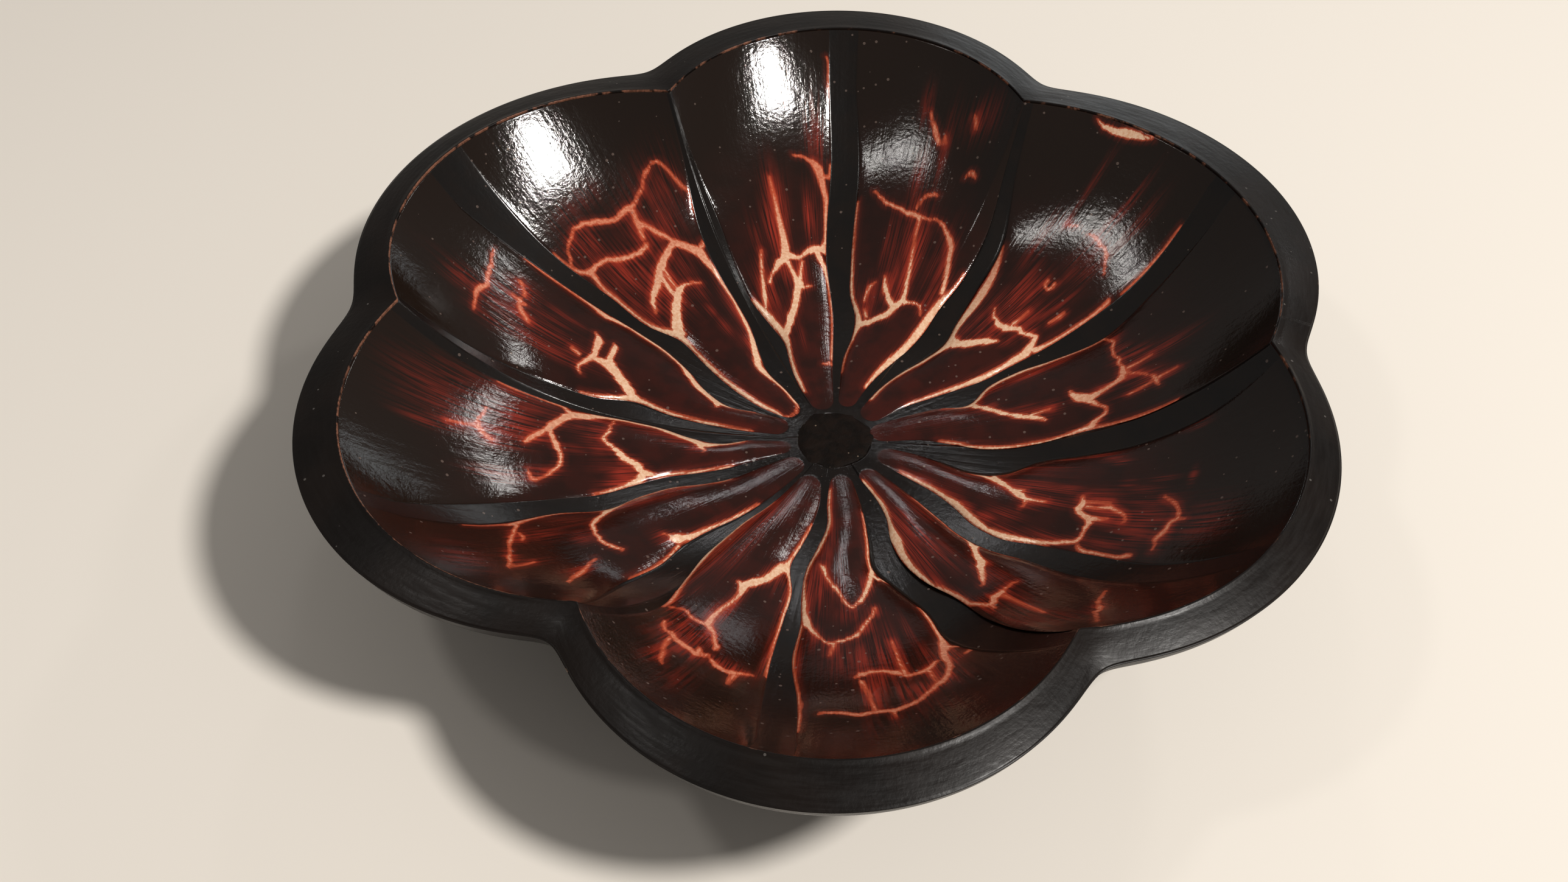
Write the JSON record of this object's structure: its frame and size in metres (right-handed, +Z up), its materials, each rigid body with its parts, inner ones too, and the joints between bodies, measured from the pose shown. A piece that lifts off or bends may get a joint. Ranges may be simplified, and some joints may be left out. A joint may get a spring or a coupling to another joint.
{
  "type": "carved flower bowl",
  "caption": "Shallow wooden bowl carved as an open flower: lobed petals with fluted fingers meet in a small dark centre, black lacquered rim and outside, stained and varnished inside",
  "frame": {"origin": "centre of the flat foot, on the surface that the bowl stands on", "axes": "+Z up out of the bowl; +Y from the front petal to the back petal; +X to the right"},
  "size_m": [0.2281, 0.2491, 0.0499],
  "materials": {
    "black_lacquer": "black lacquer, glossy outside, satin on the rim band",
    "stained_petals": "red-brown stain with dark scorched grooves and tan veins, under glossy varnish",
    "dark_centre": "black, rough and dull"
  },
  "bodies": {
    "root": {"bowl_body": "black_lacquer", "flower_centre": "dark_centre", "petal_back": "stained_petals", "petal_back_left": "stained_petals", "petal_front_left": "stained_petals", "petal_front": "stained_petals", "petal_front_right": "stained_petals", "petal_back_right": "stained_petals"}
  },
  "joints": []
}
